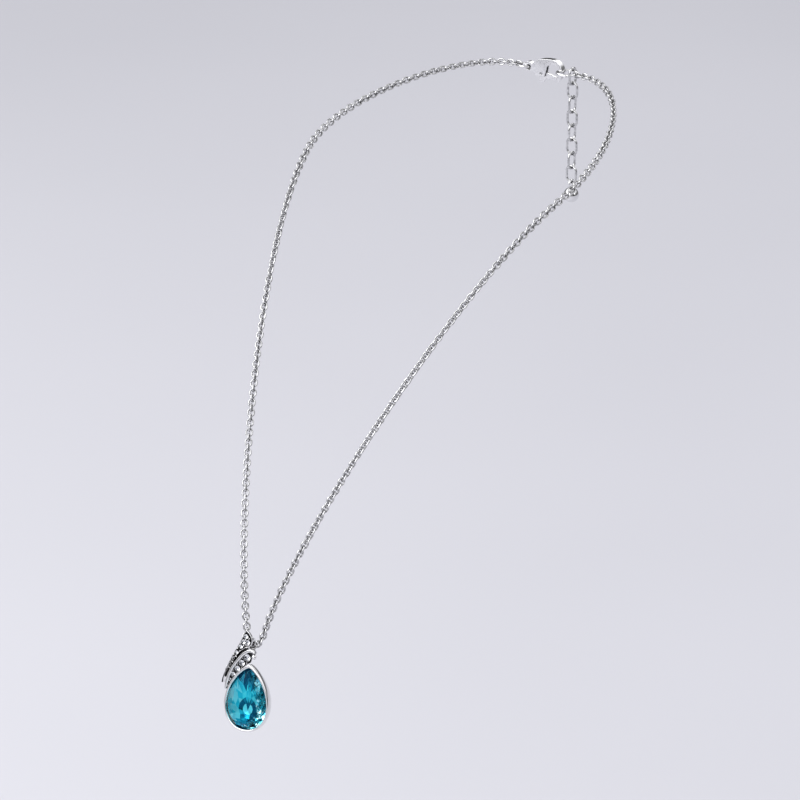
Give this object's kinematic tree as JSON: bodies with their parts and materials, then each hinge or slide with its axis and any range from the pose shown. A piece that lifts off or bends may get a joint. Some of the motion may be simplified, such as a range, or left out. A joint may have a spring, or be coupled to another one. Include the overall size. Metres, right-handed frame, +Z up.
{
  "type": "pendant necklace",
  "caption": "Fine cable-chain necklace with a pear crystal pendant in a bezel cup, a stone-set scroll and ribbon bail, lobster clasp and extender tail.",
  "frame": {"origin": "centre of the bezel cup's flat back plate", "axes": "+Z up as worn, +X to the right of someone looking at the pendant's front, -Y to the front, so the nape is at +Y"},
  "size_m": [0.0795, 0.1397, 0.1389],
  "materials": {
    "polished_silver": "polished rhodium plate, bright",
    "chain_silver": "polished rhodium plate on drawn wire",
    "spring_steel": "satin steel",
    "teal_crystal": "foil-backed faceted teal crystal, polished",
    "clear_crystal": "small clear faceted crystals, polished"
  },
  "bodies": {
    "neck": {"chain_left_neck_1": "chain_silver", "chain_left_neck_2": "chain_silver", "chain_left_neck_3": "chain_silver", "chain_left_neck_4": "chain_silver", "chain_right_neck_1": "chain_silver", "chain_right_neck_2": "chain_silver", "chain_right_neck_3": "chain_silver", "chain_right_neck_4": "chain_silver", "clasp_body": "polished_silver", "clasp_lever_pin": "spring_steel", "clasp_spring": "spring_steel", "clasp_ring": "polished_silver", "end_ring": "polished_silver"},
    "right_upper": {"chain_right_upper_1": "chain_silver", "chain_right_upper_2": "chain_silver"},
    "right_middle": {"chain_right_middle_1": "chain_silver", "chain_right_middle_2": "chain_silver"},
    "right_lower": {"chain_right_lower_1": "chain_silver", "chain_right_lower_2": "chain_silver"},
    "left_upper": {"chain_left_upper_1": "chain_silver", "chain_left_upper_2": "chain_silver"},
    "left_middle": {"chain_left_middle_1": "chain_silver", "chain_left_middle_2": "chain_silver"},
    "left_lower": {"chain_left_lower_1": "chain_silver", "chain_left_lower_2": "chain_silver"},
    "apex": {"chain_apex": "chain_silver"},
    "pendant": {"bezel_cup": "polished_silver", "centre_crystal": "teal_crystal", "scroll_band": "polished_silver", "scroll_bead": "polished_silver", "ribbon_bail": "polished_silver", "scroll_stone_1": "clear_crystal", "scroll_stone_2": "clear_crystal", "scroll_stone_3": "clear_crystal", "scroll_stone_4": "clear_crystal", "scroll_stone_5": "clear_crystal", "ribbon_stone_1": "clear_crystal", "ribbon_stone_2": "clear_crystal", "ribbon_stone_3": "clear_crystal", "ribbon_stone_4": "clear_crystal", "ribbon_stone_5": "clear_crystal", "ribbon_stone_6": "clear_crystal", "ribbon_stone_7": "clear_crystal", "ribbon_stone_8": "clear_crystal"},
    "lever": {"clasp_lever": "polished_silver"},
    "tail_top": {"extender_link_1": "chain_silver", "extender_link_2": "chain_silver", "extender_link_3": "chain_silver", "extender_link_4": "chain_silver"},
    "tail_end": {"extender_link_5": "chain_silver", "extender_link_6": "chain_silver", "extender_link_7": "chain_silver", "extender_link_8": "chain_silver"},
    "tail_drop": {"extender_drop": "polished_silver"}
  },
  "joints": [
    {"name": "right_front_lift", "type": "hinge", "parent": "neck", "child": "right_upper", "pos_m": [0.03208, 0.06193, 0.10371], "axis": [-1, 0, 0], "range_deg": [0, 35]},
    {"name": "left_front_lift", "type": "hinge", "parent": "neck", "child": "left_upper", "pos_m": [-0.0352, 0.06193, 0.10371], "axis": [-1, 0, 0], "range_deg": [0, 35]},
    {"name": "right_chest_lift", "type": "hinge", "parent": "right_upper", "child": "right_middle", "pos_m": [0.02197, 0.03705, 0.07835], "axis": [-1, 0, 0], "range_deg": [0, 30]},
    {"name": "left_chest_lift", "type": "hinge", "parent": "left_upper", "child": "left_middle", "pos_m": [-0.02509, 0.03705, 0.07835], "axis": [-1, 0, 0], "range_deg": [0, 30]},
    {"name": "right_drop_lift", "type": "hinge", "parent": "right_middle", "child": "right_lower", "pos_m": [0.01143, 0.01692, 0.04919], "axis": [-1, 0, 0], "range_deg": [0, 30]},
    {"name": "left_drop_lift", "type": "hinge", "parent": "left_middle", "child": "left_lower", "pos_m": [-0.01455, 0.01692, 0.04919], "axis": [-1, 0, 0], "range_deg": [0, 30]},
    {"name": "pendant_swing", "type": "hinge", "parent": "right_lower", "child": "apex", "pos_m": [-0.00156, 0.00289, 0.01563], "axis": [-1, 0, 0], "range_deg": [0, 45]},
    {"name": "pendant_sway", "type": "hinge", "parent": "apex", "child": "pendant", "pos_m": [-0.00156, 0.00039, 0.01288], "axis": [0.153, -0.9661, 0.2079], "range_deg": [-12, 12]},
    {"name": "clasp_lever_turn", "type": "hinge", "parent": "neck", "child": "lever", "pos_m": [-0.00308, 0.12899, 0.12723], "axis": [0, -1, 0], "range_deg": [0, 25], "stiffness_Nm_per_rad": 0.0002, "springref_deg": -11.46, "deforming": ["clasp_spring"]},
    {"name": "extender_swing", "type": "hinge", "parent": "neck", "child": "tail_top", "pos_m": [0.00443, 0.13159, 0.12833], "axis": [1, 0, 0], "range_deg": [-5, 40]},
    {"name": "extender_curl", "type": "hinge", "parent": "tail_top", "child": "tail_end", "pos_m": [0.00443, 0.13159, 0.11341], "axis": [1, 0, 0], "range_deg": [-5, 30]},
    {"name": "drop_swing", "type": "hinge", "parent": "tail_end", "child": "tail_drop", "pos_m": [0.00443, 0.13159, 0.09841], "axis": [1, 0, 0], "range_deg": [-25, 25]}
  ],
  "couplings": [
    {"joint": "left_front_lift", "follows": "right_front_lift", "ratio": 1},
    {"joint": "left_chest_lift", "follows": "right_chest_lift", "ratio": 1},
    {"joint": "left_drop_lift", "follows": "right_drop_lift", "ratio": 1},
    {"joint": "extender_curl", "follows": "extender_swing", "ratio": 0.6}
  ]
}
